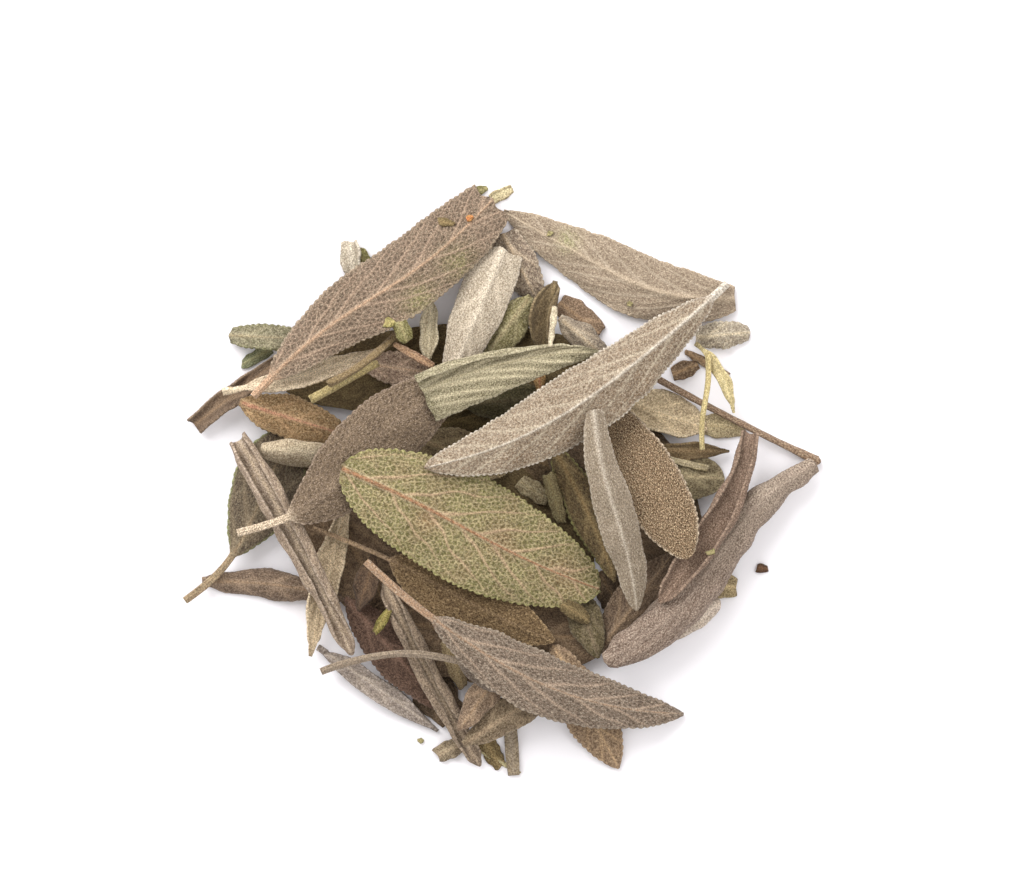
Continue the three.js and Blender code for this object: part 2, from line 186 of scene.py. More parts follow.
def laid_out(form, u, across, above, side_step=0.0):
    """Bends the cross-sections along the leaf and sets it from its base to its tip, seen in plan"""
    length = leaf_length(form)
    turn = form["roll"] + form["twist"] * (u - 0.5)
    y = across * np.cos(turn) - above * np.sin(turn)
    z = across * np.sin(turn) + above * np.cos(turn)
    hump = 4 * u * (1 - u)
    drift = form["bow"] * hump + form["sway"] * np.sin(2 * np.pi * u)
    slope = form["bow"] * 4 * (1 - 2 * u) + form["sway"] * 2 * np.pi * np.cos(2 * np.pi * u)
    heading = np.arctan2(slope, length)
    x = length * u - np.sin(heading) * y + np.cos(heading) * side_step
    y = drift + np.cos(heading) * y + np.sin(heading) * side_step
    z = form["arch"] * hump + z
    (x0, y0), (x1, y1) = form["base"], form["tip"]
    aim = math.atan2(y1 - y0, x1 - x0)
    return np.stack([
        x0 + math.cos(aim) * x - math.sin(aim) * y,
        y0 + math.sin(aim) * x + math.cos(aim) * y,
        z + 0 * x,
    ], axis=-1)


def solid_points(form):
    """The points of the leaf's plain solid, upper face and under face"""
    start = form["stalk"] / leaf_length(form)
    even = np.arange(form["stations"] + 1) / form["stations"]
    eased = (1 - np.cos(np.pi * even)) / 2
    shares = start + (1 - start) * (even + eased) * 0.5
    if start > 0:
        shares = np.concatenate([[0, start / 2], shares])
    rows = np.arange(len(shares))
    widen = 1 + form["scallop"] * np.where(rows % 2, 0.5, -0.5)
    widen[[0, -1]] = 1
    if form["rod"]:
        widen[:] = 1
    u = shares[:, None]
    t = (2 * np.arange(form["across"] + 1) / form["across"] - 1)[None, :]
    half = half_width(form, u, TIP_HALF_WIDTH) * widen[:, None]
    y, z, tilt = cross_section(form, u, t, half)
    flutter = 0 if form["rod"] else margin_wave(form, u, t)
    faces = []
    for face in (1, -1):
        lift = face * half_thickness(form, u, t, half) + flutter
        faces.append(laid_out(form, u, y - np.sin(tilt) * lift, z + np.cos(tilt) * lift).reshape(-1, 3))
    return np.concatenate(faces)


SAME_PLACE, WORST_FIT, FIT_ROUNDS, LEAST_KEPT = 0.01, 0.03, 6, 0.6


def resting_place(name, form):
    """How far the solid leaf is moved in plan, and the plane that it leans on, read from its solid"""
    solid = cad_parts[name].data.vertices
    found = np.array([v.co for v in solid], float) / MM
    points = solid_points(form)
    shift = found[:, :2].min(0) - points[:, :2].min(0)
    points[:, :2] += shift
    trees = []
    for cloud in (found, points):
        tree = kdtree.KDTree(len(cloud))
        for i, (x, y, _) in enumerate(cloud):
            tree.insert((x, y, 0), i)
        tree.balance()
        trees.append(tree)
    rows, heights = [], []
    for x, y, _ in points:
        tops = []
        for tree, cloud in zip(trees, (found, points)):
            near = [i for _, i, _ in tree.find_range((x, y, 0), SAME_PLACE)]
            tops.append(cloud[near, 2].max() if near else None)
        if tops[0] is not None:
            rows.append((1, x, y))
            heights.append(tops[0] - tops[1])
    rows, heights = np.array(rows), np.array(heights)
    kept = np.full(len(rows), True)
    for _ in range(FIT_ROUNDS):
        plane, *_ = np.linalg.lstsq(rows[kept], heights[kept], rcond=None)
        error = np.abs(rows @ plane - heights)
        kept = error <= max(WORST_FIT, np.median(error) * 2)
    if error[kept].max() > WORST_FIT or kept.mean() < LEAST_KEPT:
        raise ValueError(f"{name} doesn't have the form of its solid: {error[kept].max():.3f} mm")
    return shift, plane


def lie_as_solid(points, name, form):
    """Moves and leans the points of a leaf as its solid lies"""
    shift, plane = resting_place(name, form)
    points[..., :2] += shift
    points[..., 2] += plane[0] + plane[1] * points[..., 0] + plane[2] * points[..., 1]


RIPPLE_WAVES = 7
ROW_STEP, JITTER = 0.866, 0.85


def ripple(x, y, wave, seed):
    """A smooth uneven field between about -1 and 1, with waves of that length in mm"""
    draw = np.random.RandomState(seed)
    total = 0 * x + 0 * y
    for _ in range(RIPPLE_WAVES):
        aim, offset = draw.uniform(0, 2 * math.pi, 2)
        size = wave * draw.uniform(0.7, 1.5)
        total = total + np.sin(2 * math.pi * (x * math.cos(aim) + y * math.sin(aim)) / size + offset)
    return total / 4


def chance(i, j, seed):
    """The same random number from 0 to 1 for the same cell of the net"""
    return np.modf(np.abs(np.sin(i * 127.1 + j * 311.7 + seed * 74.7) * 43758.5453))[0]


def net_lines(s, w, cell, seed):
    """How far each point is, in mm, from the nearest thin vein of an uneven net"""
    row = np.floor(w / (cell * ROW_STEP))
    spots = []
    for dj in range(-2, 3):
        j = row + dj
        column = np.floor(s / cell - 0.5 * (j % 2))
        for di in range(-2, 3):
            i = column + di
            x = (i + 0.5 + 0.5 * (j % 2) + JITTER * (chance(i, j, seed) - 0.5)) * cell
            y = (j + 0.5 + JITTER * (chance(i, j, seed + 5) - 0.5)) * cell * ROW_STEP
            spots.append((x - s, y - w))
    spots = np.array(spots)
    away = (spots ** 2).sum(1)
    own = np.take_along_axis(spots, away.argmin(0)[None, None], 0)
    apart = np.sqrt(((spots - own) ** 2).sum(1))
    to_line = np.where(apart < TINY, np.inf, (away - away.min(0)) / (2 * np.maximum(apart, TINY)))
    return to_line.min(0)


# How high the net, the pebbles, the veins, the midrib, the quilting, the pleats and the crumples stand,
# how far apart they are and how wide, all in mm, and how much the side veins slant and bend
BARE = dict(cell=1.0, stretch=1.0, net=0.0, net_width=0.11, pebble=0.0, veins=0.0, spacing=6.5, slant=1.7,
            bend=0.06, wander=0.5, vein_width=0.17, rib_line=0.05, rib_width=0.4, quilt=0.0, crumple=0.1,
            crenate=0.0, pitch=1.1, ragged=0.0, pleats=0.0)
FELTED = BARE | dict(cell=0.62, pebble=0.05, veins=0.05, rib_line=0.08, quilt=0.08, vein_width=0.3,
                     crumple=0.2, crenate=0.1, ragged=0.5)
LEFT_VEINS_AHEAD, SIDES_APART = 0.43, 40
SEAM_PLACE, SEAM_WIDTH = 1.3, 0.13
DOME_REACH, PLEAT_PITCH = 0.34, 1.5
STALK_RIB_PITCH, TORN_REACH = 0.42, 2.5


def relief(form, look, s, w, u, half, seed):
    """The veins, the net and the puckers of a blade, in mm, and where each of them is"""
    blade = np.clip((s - form["stalk"]) / 2.5, 0, 1) * np.clip(half / 1.2 - 0.6, 0, 1)
    out = np.abs(w)
    wandering = look["wander"] * ripple(s, w, 7.0, seed + 1)
    bent = s - look["slant"] * out - look["bend"] * out * out + wandering
    phase = bent / look["spacing"] + np.where(w > 0, LEFT_VEINS_AHEAD, 0)
    order = np.round(phase)
    uneven = 0.4 * (chance(order, np.sign(w), seed) - 0.5)
    away = np.abs(phase - order - uneven) * look["spacing"] / math.hypot(1, look["slant"])
    fade = blade * np.clip(1.15 - out / np.maximum(half, 0.1), 0, 1)
    vein = np.exp(-(away / (look["vein_width"] * (0.5 + fade))) ** 2) * np.clip(2 * fade, 0, 1)
    between = np.clip(away / 1.2, 0, 1)
    rib_width = look["rib_width"] * (1 - 0.65 * u)
    rib = np.exp(-(w / rib_width) ** 2)
    seam = np.exp(-((out - SEAM_PLACE * rib_width) / SEAM_WIDTH) ** 2) * (1 - 0.5 * u)
    lean = math.atan2(1, look["slant"])
    along = s * math.cos(lean) + out * math.sin(lean) + 0.2 * ripple(s, w, 3.0, seed + 6)
    aside = (out * math.cos(lean) - s * math.sin(lean) + SIDES_APART) * np.sign(w)
    to_line = net_lines(along / look["stretch"], aside, look["cell"], seed)
    fainter = 0.78 + 0.3 * ripple(s, w, 2.2, seed + 7)
    line = np.exp(-(to_line / look["net_width"]) ** 2) * blade * np.clip(fainter, 0.25, 1)
    dome = np.clip(to_line / (DOME_REACH * look["cell"]), 0, 1) ** 0.7 * blade
    pleat = np.cos(2 * np.pi * w / PLEAT_PITCH + ripple(s, w, 14, seed + 4)) * blade
    height = (
        look["net"] * line + look["pebble"] * dome + look["veins"] * vein
        + look["rib_line"] * (1 - 0.6 * u) * rib + look["quilt"] * between * blade
        + look["crumple"] * ripple(s, w, 6.5, seed) * blade + look["pleats"] * pleat
    )
    outer = np.clip(out / np.maximum(half, 0.1), 0, 1) ** 2 * blade
    return height, dict(vein=vein, net=line, dome=dome, rib=rib, seam=seam, outer=outer)


def shaped_grid(name, points):
    """A grid with its points moved to where they lie, given in mm as columns of rows"""
    columns, rows = points.shape[:2]
    bpy.ops.object.select_all(action="DESELECT")
    bpy.ops.mesh.primitive_grid_add(x_subdivisions=rows - 1, y_subdivisions=columns - 1, size=1)
    piece = bpy.context.object
    piece.name = name
    piece.data.vertices.foreach_set("co", (points * MM).ravel())
    return piece


def keep_masks(mesh, masks, like):
    """Keeps at every point how much of each vein, margin, patch or painted shade it is, for the finish"""
    for mask, values in masks.items():
        layer = mesh.attributes.new(mask, "FLOAT", "POINT")
        layer.data.foreach_set("value", np.broadcast_to(values, like.shape).astype(np.float32).ravel())


def keep_place(mesh, s, w, seed, tone):
    """Keeps at every point where it lies on the flat leaf, in mm, and the tone that the leaf dried to"""
    layers = dict(flat=(s, w, 0 * s + 0 * w + seed), tone=[0 * s + 0 * w + part for part in tone])
    for name, parts in layers.items():
        values = np.stack(np.broadcast_arrays(*parts), axis=-1)
        layer = mesh.attributes.new(name, "FLOAT_VECTOR", "POINT")
        layer.data.foreach_set("vector", values.astype(np.float32).ravel())


def give_body(piece, finish):
    """Thickens the upper face downwards to a closed blade and gives it its finish"""
    modifier = piece.modifiers.new("body", "SOLIDIFY")
    modifier.thickness = SHOWN_THICKNESS * MM
    modifier.offset = -1
    bpy.ops.object.modifier_apply(modifier=modifier.name)
    bpy.ops.object.shade_smooth()
    piece.data.materials.append(finish)


def leaf(name, base, tip, finish, look, grain, tone=(1, 1, 1), patches=(), shade=0.0, shape=()):
    """One leaf: a grid bent to the form of its solid, with its relief, then given its thickness"""
    form = LEAF | dict(shape) | dict(base=base, tip=tip)
    seed = sum(map(ord, name))
    length = leaf_length(form)
    rows = int(length / grain) + 1
    columns = 2 * int(form["width"] / 2 / grain) + 1
    u = np.linspace(0, 1, rows)[None, :]
    t = np.linspace(-1, 1, columns)[:, None]
    half = half_width(form, u, FINE_TIP)
    s, w = u * length, t * half
    blade = np.clip((half - form["stem"]) / 1.5, 0, 1)
    stalk = np.clip(1 - (s - form["stalk"]) / 2, 0, 1) * (form["stalk"] > 0)
    teeth = np.abs(np.sin(np.pi * (s + 0.3 * ripple(s, 0 * s, 5, seed)) / look["pitch"])) - 0.55
    notched = look["crenate"] * teeth + 0.12 * ripple(s, 3 * np.sign(t), 4, seed + 2)
    outline = 1 + blade * notched * (np.abs(t) ** 5 / np.maximum(half, 0.5))
    y, z, tilt = cross_section(form, u, t, half * outline)
    height, masks = relief(form, look, s, w, u, half, seed)
    thick = half_thickness(form, u, t, half) * (1 - 0.35 * np.abs(t) ** 8)
    ribs = 0.05 * np.cos(2 * np.pi * w / STALK_RIB_PITCH)
    rounded = 0.5 * np.sqrt(np.maximum(1 - t * t, 0)) - 0.3 + ribs
    lift = thick + margin_wave(form, u, t) + height + stalk * rounded
    eased = tilt * np.clip(np.abs(w) / 0.7, 0, 1)
    tear = look["ragged"] * ripple(0 * s, w, 2.6, seed + 3)
    near_base = np.clip(1 - s / TORN_REACH, 0, 1) * (form["cut_base"] > 0) * (form["stalk"] == 0)
    near_tip = np.clip(1 - (length - s) / TORN_REACH, 0, 1) * (form["cut_tip"] < 1)
    step = tear * (near_base + near_tip)
    points = laid_out(form, u, y - np.sin(eased) * lift, z + np.cos(eased) * lift, step)
    lie_as_solid(points, name, form)
    piece = shaped_grid(name + "_dried", points)

    margin = np.exp(-((np.abs(w) - half) / 0.3) ** 2) * blade * np.clip(0.6 + teeth, 0.3, 1)
    patch = 0 * s + 0 * w
    for share, side, reach in patches:
        patch = patch + np.exp(-((s - share * length) ** 2 + (w - side) ** 2) / reach ** 2)
    masks |= dict(rib=masks["rib"] * np.clip(half / 0.8 - 0.5, 0, 1), stalk=stalk * (1 - 0.5 * blade))
    # The shade mask is painted shade: how far the whole leaf is darkened towards an unlit brown
    masks |= dict(margin=margin, patch=np.clip(patch, 0, 1), shade=shade + 0 * patch)
    keep_masks(piece.data, masks, patch)
    keep_place(piece.data, s, w, seed, tone)
    give_body(piece, finish)
    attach(piece, "root")
    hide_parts(name)


# The third size is of the fine grains that get painted light and shade: the colour is multiplied by
# HOLLOW_LIGHT in their hollows and by CREST_LIGHT on their crests.
BLOTCH, CLOUD, LIT_GRAIN_SIZE = 3.5, 4.0, 0.24
HOLLOW_LIGHT, CREST_LIGHT = (0.48, 0.42, 0.36, 1), (1.62, 1.6, 1.55, 1)
# UNLIT is the colour of painted shade, that the shade mask darkens a leaf towards
UNLIT = "#241c14"


def sage_finish(name, blade, dark, pale, vein, rib, outer=None, patch=None, blotch=None, margin=None,
                net_tint=None, speck=0.26, specks=0.75, hairs=0.6, net=0.5, cell_shade_and_colour=0.5, veins=0.8, ribs=0.8,
                seams=0.5, edge=0.7, painted_grain_light=0.75, felt=0.08):
    """Dried sage: a matt blade with dark grains and pale hairs on it, and veins of another colour.
    Its fine grains get painted light and shade, its cells painted shade, and a leaf in a gap painted
    shade.

    The sizes are of single grains in mm; the other numbers are how strong each layer shows."""
    finish = bpy.data.materials.new(name)
    finish.use_nodes = True
    tree = finish.node_tree
    shader = tree.nodes["Principled BSDF"]
    flat = add_node(tree, "ShaderNodeAttribute", attribute_name="flat").outputs["Vector"]

    def mask(kind, strength=1.0):
        """How much of that kind of place a point is"""
        found = add_node(tree, "ShaderNodeAttribute", attribute_name=kind).outputs["Fac"]
        return add_node(tree, "ShaderNodeMath", {0: found, 1: strength}, operation="MULTIPLY",
                        use_clamp=True).outputs[0]

    def grains(size, low, high, detail=2.0, stretch=(1, 1, 1), top=1.0):
        """Grains of that size in mm, rising to the top from where the noise passes low to high"""
        along = add_node(tree, "ShaderNodeMapping", {"Vector": flat, "Scale": stretch}).outputs[0]
        noise = add_node(tree, "ShaderNodeTexNoise",
                         {"Vector": along, "Scale": 1 / size, "Detail": detail, "Roughness": 0.65})
        return add_node(tree, "ShaderNodeMapRange",
                        {"Value": noise.outputs["Fac"], "From Min": low, "From Max": high,
                         "To Max": top}).outputs[0]

    def mixed(share, first, second, kind="MIX"):
        """The first colour with a share of the second laid over it"""
        made = add_node(tree, "ShaderNodeMix", {0: share, 6: first, 7: second}, data_type="RGBA",
                        blend_type=kind)
        return made.outputs[2]

    speckle = grains(speck, 0.44, 0.58, top=specks)
    hair = grains(speck * 0.8, 0.50, 0.62, stretch=(0.55, 1, 1), top=hairs)
    colour = linear(blade)
    if outer:
        colour = mixed(mask("outer"), colour, linear(outer))
    if blotch:
        colour = mixed(grains(BLOTCH, 0.48, 0.62, top=0.75), colour, linear(blotch))
    if patch:
        colour = mixed(mask("patch"), colour, linear(patch))
    colour = mixed(speckle, colour, linear(dark))
    # Painted shade: the cells between the net lines are darkened, as shade in the hollows of a netted
    # underside; on a pebbled blade, where the cells are domes, it is their own darker colour.
    colour = mixed(mask("dome", cell_shade_and_colour), colour, linear(dark))
    colour = mixed(grains(CLOUD, 0.45, 0.65, detail=1.0, top=0.3), colour, linear(dark))
    colour = mixed(hair, colour, linear(pale))
    colour = mixed(mask("net", net), colour, linear(net_tint or vein))
    colour = mixed(mask("vein", veins), colour, linear(vein))
    colour = mixed(mask("rib", ribs), colour, mixed(hair, linear(rib), linear(pale)))
    colour = mixed(mask("seam", seams), colour, linear(pale))
    colour = mixed(mask("margin", edge), colour, linear(margin or pale))
    colour = mixed(mask("stalk"), colour, mixed(hair, linear(rib), linear(pale)))
    # Painted light and shade: the colour is made lighter on the crests of fine grains and darker in their
    # hollows
    lit_or_not = mixed(grains(LIT_GRAIN_SIZE, 0.38, 0.62, detail=3.0), HOLLOW_LIGHT, CREST_LIGHT)
    colour = mixed(painted_grain_light, colour, lit_or_not, "MULTIPLY")
    # Painted shade: the colour darkened towards an unlit brown as far as the leaf's shade mask says
    colour = mixed(mask("shade"), colour, linear(UNLIT))
    tone = add_node(tree, "ShaderNodeAttribute", attribute_name="tone").outputs["Color"]
    colour = mixed(1.0, colour, tone, "MULTIPLY")
    tree.links.new(colour, shader.inputs["Base Color"])
    raised = add_node(tree, "ShaderNodeMath", {0: hair, 1: speckle}, operation="SUBTRACT").outputs[0]
    bump = add_node(tree, "ShaderNodeBump", {"Height": raised, "Strength": 0.9, "Distance": felt * MM})
    tree.links.new(bump.outputs[0], shader.inputs["Normal"])
    shader.inputs["Roughness"].default_value = 0.9
    shader.inputs["Specular IOR Level"].default_value = 0.2
    shader.inputs["Sheen Weight"].default_value = 0.06
    shader.inputs["Sheen Roughness"].default_value = 0.5
    return finish


# A dried upper face: matt dull brown, with grey felt between darker grains
brown_felt = sage_finish("dry_brown_blade", "#7c6753", "#4e3f33", "#a08c74", "#a58d72", "#a88c6c")
# A dried blade that kept some green: matt dull olive under thin felt
olive_felt = sage_finish("dry_olive_blade", "#6e5e40", "#463a28", "#94845f", "#8c7b58", "#9a8560")
# These bed leaves get painted shade, for the dark gaps that they show through
leaf("leaf_bed_centre", (-30, 6), (14, -14), olive_felt, FELTED, grain=0.8,
     tone=(1.5, 1.5, 1.5), shade=0.55, shape=FLAT | dict(width=24, fullness=0.6))
leaf("leaf_bed_left", (-39, 8), (-18, -27), brown_felt, FELTED, grain=0.8,
     tone=(1.5, 1.5, 1.5), shade=0.55, shape=FLAT | dict(width=16, fullness=0.6))
leaf("leaf_bed_right", (8, 16), (31, -19), brown_felt, FELTED, grain=0.8, shade=0.55,
     shape=FLAT | dict(width=21, fullness=0.6))
leaf("leaf_bed_upper", (-40, 17), (16, 21), olive_felt, FELTED, grain=0.8,
     tone=(1.5, 1.5, 1.5), shade=0.55, shape=FLAT | dict(width=15, fullness=0.55))
leaf("leaf_bed_lower", (-25, -24), (17, -27.5), brown_felt, FELTED, grain=0.8,
     tone=(1.5, 1.5, 1.5), shade=0.55, shape=FLAT | dict(width=18, fullness=0.6))


# The leaves that stick out from under the heap
# Whole dried leaves and torn pieces that rest with one end or their full length on the table. The
# large one at the upper right shows the raised net of its underside.
MAIN = dict(stations=17)
NETTED = BARE | dict(cell=1.0, net=0.1, veins=0.16, rib_line=0.22, quilt=0.12, crumple=0.16,
                     crenate=0.26, ragged=0.5)
# A dried underside: grey brown, with the paler net standing out
grey_net = sage_finish("netted_grey_underside", "#8d7c66", "#6c5c49", "#b3a184", "#b8a27f", "#c0a883",
                       patch="#8c8a5c", net=0.45)
# An underside under denser felt: light, its net only faint
soft_net = sage_finish("netted_underside_grey_brown", "#8d7c66", "#6c5c49", "#b3a184", "#b4a48a",
                       "#bca88a", patch="#8c8a5c", net=0.3, cell_shade_and_colour=0.3, veins=0.45, ribs=0.5, seams=0.2,
                       painted_grain_light=0.5)
# A torn bit that dried out of the light: grey green with a darker green margin
green_scrap = sage_finish("green_scrap_blade", "#8d9177", "#6a6d4f", "#b4b698", "#aeb08e", "#b0ab85",
                          margin="#7f8a58")
# Thick white down on a dried blade: chalky beige
pale_felt = sage_finish("pale_felted_blade", "#b1a58e", "#8a7c66", "#cfc6b0", "#c6bca2", "#cfc4aa")
# Short down on a browned blade: mouse grey
grey_felt = sage_finish("grey_felted_blade", "#857768", "#5f5347", "#aa9c8a", "#a3937e", "#b3a28a")
# A bare dried stalk: straw yellow, with fine darker fibres
straw_stalk = sage_finish("straw_stalk", "#c9bc92", "#a89a70", "#ddd4b4", "#d6caa4", "#d9cda8")
leaf("leaf_right_floor", (38.2, 31), (-1.5, 45.9), soft_net,
     NETTED | dict(slant=2.6, net=0.06, veins=0.1, crenate=0.12), grain=0.2, tone=(1.24, 1.29, 1.47),
     patches=[(0.72, -1.0, 2.0)],
     shape=MAIN | dict(width=10.8, bow=3.3, sway=0.8, cut_base=0.05, widest=0.43, fullness=0.72,
                       arch=1.6, wave=0.4))
leaf("leaf_left_floor", (-53, -17.5), (-28.5, -20.5), brown_felt, FELTED, grain=0.38,
     tone=(0.8, 0.83, 0.93), shape=dict(width=6.2, bow=1.1, arch=0.8, left=-1.3, right=-1.3))
leaf("leaf_dark_strip", (-54.4, 9.3), (-36, 23.5), brown_felt, FELTED, grain=0.38,
     tone=(0.69, 0.69, 0.73), shape=dict(width=4.8, cut_base=0.3, fold=0.35, left=0.8, right=0.8))
leaf("leaf_green_scrap_left", (-48.3, 24.7), (-36, 24.1), green_scrap, NETTED, grain=0.29,
     tone=(0.8, 0.7, 0.75), shape=dict(width=4.4, cut_base=0.15, cut_tip=0.8, fold=0.15))
leaf("leaf_pale_curl", (-27.7, 41), (-26.4, 32), pale_felt, FELTED, grain=0.38,
     tone=(1.04, 1.06, 1.18), shape=dict(width=4.4, cut_base=0.2, left=2.2, right=0.3, arch=0.3))
leaf("leaf_brown_top", (-1.6, 42), (5, 29.5), brown_felt, NETTED, grain=0.34,
     tone=(1.46, 1.67, 1.97), shape=dict(width=6.4, cut_base=0.15, fullness=0.6))
leaf("leaf_scrap_right", (31, 24.3), (40.3, 25.2), grey_net, NETTED, grain=0.34,
     tone=(1.34, 1.54, 1.91), shape=dict(width=4.6, cut_base=0.1, cut_tip=0.85))
leaf("leaf_olive_right", (24, 1), (36.4, 0.2), olive_felt, FELTED, grain=0.38,
     tone=(1.44, 1.61, 2.04), shape=dict(width=8.2, fullness=0.52))
leaf("scrap_olive_low", (30, -17.4), (38.6, -18.4), olive_felt, FELTED, grain=0.38,
     tone=(1.56, 1.65, 1.88), shape=dict(width=4.6, cut_tip=0.85, fullness=0.6))
leaf("scrap_beige_low", (35.4, -21), (26.5, -27), pale_felt, FELTED, grain=0.38,
     tone=(1.13, 1.11, 1.29), shape=dict(width=3.6, cut_base=0.1, cut_tip=0.9))
leaf("leaf_scalloped", (6.9, -28), (18.3, -49.4), grey_net,
     NETTED | dict(cell=1.0, net=0.12), grain=0.26, tone=(1, 0.94, 0.97),
     shape=dict(width=8.8, cut_base=0.05, widest=0.56, stations=16, scallop=0.12, arch=0.4))
leaf("leaf_grey_strip", (-33.2, -28.6), (-12.6, -42.9), grey_felt, FELTED, grain=0.34,
     tone=(1.15, 1.23, 1.46), shape=dict(width=4.4, bow=0.1, fold=0.3, left=0.7))
leaf("leaf_scrap_bottom", (-13, -47.3), (-8.3, -45), olive_felt, FELTED, grain=0.38,
     tone=(1.36, 1.46, 2.04), shape=dict(width=3.2, cut_base=0.2, cut_tip=0.8, arch=0.2))
leaf("stalk_bottom", (-0.4, -41), (0.3, -50.6), straw_stalk, BARE, grain=0.38,
     tone=(0.49, 0.46, 0.55), shape=dict(width=2.4, cut_base=0.3, cut_tip=0.7, fold=0.2, arch=0.2))


# The leaves and scraps that fill the heap
# Smaller leaves, torn and folded pieces, and two that dried into scrolls, lying on each other
# between the table and the large leaves on top. Among them are broken stalks and one thin twig.
SCROLLED = dict(stations=12, across=8, scallop=0, wave=0, fold=0)
PEBBLED = FELTED | dict(cell=0.8, pebble=0.12, veins=0.03, rib_line=-0.12, crenate=0.2)
ROD_POINTS, ROD_RIBS, WELD = 32, 5, 0.02


def rod(name, base, tip, finish, grain, tone=(1, 1, 1), flare=0.0, shape=()):
    """A loose stalk: a grid rolled into a ribbed round tube, with both ends broken off unevenly"""
    form = LEAF | dict(shape) | dict(base=base, tip=tip)
    seed = sum(map(ord, name))
    length = leaf_length(form)
    along = np.linspace(0, 1, int(length / grain) + 1)
    u = np.concatenate([[0, 0], along, [1, 1]])[None, :]
    turn = np.linspace(0, 2 * np.pi, ROD_POINTS + 1)[:, None]
    closed = np.concatenate([[0, 0.6], np.ones(len(along)), [0.6, 0]])[None, :]
    ribbed = 1 + 0.07 * np.cos(ROD_RIBS * turn + 3 * u) + 0.05 * ripple(u * length, 0 * turn, 3, seed)
    radius = form["rod"] * closed * ribbed * (1 - 0.12 * u + flare * np.clip(u * 4 - 3, 0, 1))
    broken = np.clip(u * 6 - 5, 0, 1) - np.clip(1 - u * 6, 0, 1)
    step = 0.35 * np.cos(turn * 2 + seed) * np.abs(broken) * closed + 0.3 * broken * (1 - closed)
    points = laid_out(form, u, -radius * np.cos(turn), radius * np.sin(turn), step)
    lie_as_solid(points, name, form)
    piece = shaped_grid(name + "_dried", points)
    keep_place(piece.data, u * length, turn * form["rod"], seed, tone)
    bpy.ops.object.mode_set(mode="EDIT")
    bpy.ops.mesh.select_all(action="SELECT")
    bpy.ops.mesh.remove_doubles(threshold=WELD * MM)
    bpy.ops.mesh.normals_make_consistent(inside=False)
    bpy.ops.object.mode_set(mode="OBJECT")
    bpy.ops.object.shade_smooth()
    piece.data.materials.append(finish)
    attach(piece, "root")
    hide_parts(name)


# A browned blade whose margins stayed green
green_edged = sage_finish("olive_blade_green_margins", "#5e5238", "#40372a", "#847a58", "#7d7050",
                          "#8c7a55", margin="#8a9058", edge=1.0)
# A browned underside: orange brown, with a rusty midrib
rust_net = sage_finish("rust_netted_underside", "#8d7048", "#6b5236", "#b3976c", "#a8855c", "#b0785c",
                       patch="#8a8a55")
# A blade that dried in pleats: light tan, paler on the ridges
tan_pleats = sage_finish("tan_pleated_blade", "#a5977a", "#7c6e54", "#c6bb9c", "#bcae8c", "#b9a884")
# A blade that kept its green under thin felt: soft olive green
green_felt = sage_finish("green_felted_blade", "#807a4c", "#545030", "#aaa57c", "#a29c72", "#a89c74")
# Thin bark: matt brown with paler cracks
twig_bark = sage_finish("twig_bark", "#8e735c", "#5f4a38", "#b39c82", "#a58d72", "#a88c6c")
leaf("leaf_olive_left", (-55.9, -20.7), (-37, 9.6), green_edged, PEBBLED, grain=0.28,
     tone=(1.11, 1.12, 1.53),
     shape=MAIN | dict(width=11.8, bow=-2.4, sway=-0.8, stalk=10.5, widest=0.56, fullness=0.66, arch=1.4))
leaf("leaf_orange_brown", (-46.4, 13.2), (-27.5, 7.4), rust_net, NETTED, grain=0.28,
     tone=(1.08, 1.18, 1.43), shape=dict(width=7.4, fullness=0.62, arch=0.6))
leaf("leaf_tan", (-28.4, -5.5), (-34.3, -30.2), tan_pleats, FELTED | dict(pleats=0.1),
     grain=0.32, tone=(1.32, 1.27, 1.39),
     shape=dict(width=5.6, bow=-0.6, cut_base=0.08, fold=0.25, left=0.5, right=0.5))
leaf("leaf_dark_brown_lower", (-28.4, -20), (-11.2, -39.6), olive_felt, NETTED, grain=0.32,
     tone=(0.64, 0.53, 0.79), shape=dict(width=8.2, left=0.5, stations=12))
leaf("leaf_double_scroll", (-21.8, -17.5), (-5.4, -49), grey_felt, FELTED, grain=0.32,
     tone=(1, 0.97, 0.97),
     shape=SCROLLED | dict(width=9.6, bow=-0.5, left=4.4, right=4.4, plain=0.25, fullness=0.6))
leaf("leaf_olive_bottom", (-8.2, -45.2), (9.5, -34), olive_felt, FELTED, grain=0.34,
     tone=(1.23, 1.26, 1.71), shape=dict(width=6, bow=0.4, fullness=0.7, cut_tip=0.95))
leaf("leaf_small_brown", (-0.6, -30.5), (-9.2, -42.8), brown_felt, FELTED, grain=0.34,
     tone=(0.93, 0.95, 1.02), shape=dict(width=5.2, fold=-0.25))
leaf("leaf_grey_veined", (15, -29), (27.5, -12.5), grey_net, NETTED, grain=0.32,
     tone=(0.49, 0.46, 0.5), shape=dict(width=8, fullness=0.7, left=0.2))
leaf("leaf_olive_tip", (10.5, -18), (14.8, -30.4), green_felt, PEBBLED, grain=0.34,
     tone=(0.48, 0.42, 0.52), shape=dict(width=5.8, fullness=0.7))
leaf("leaf_brown_scrap", (-25, 19.8), (-13.5, 18.2), brown_felt, NETTED, grain=0.34,
     tone=(1.56, 1.64, 1.9), shape=dict(width=5.8, cut_base=0.1, cut_tip=0.85, fold=0.2))
leaf("leaf_small_pale", (-13.7, 31.5), (-14.4, 19.5), pale_felt, FELTED, grain=0.34,
     tone=(1.07, 1.07, 1.04), shape=dict(width=4.4, fold=0.4, left=0.8, right=0.8))
leaf("leaf_green_middle", (3.2, 31.4), (-5, 20.6), green_felt, PEBBLED, grain=0.32,
     tone=(0.93, 0.9, 1.03), shape=dict(width=6.4, cut_tip=0.9, fold=-0.15))
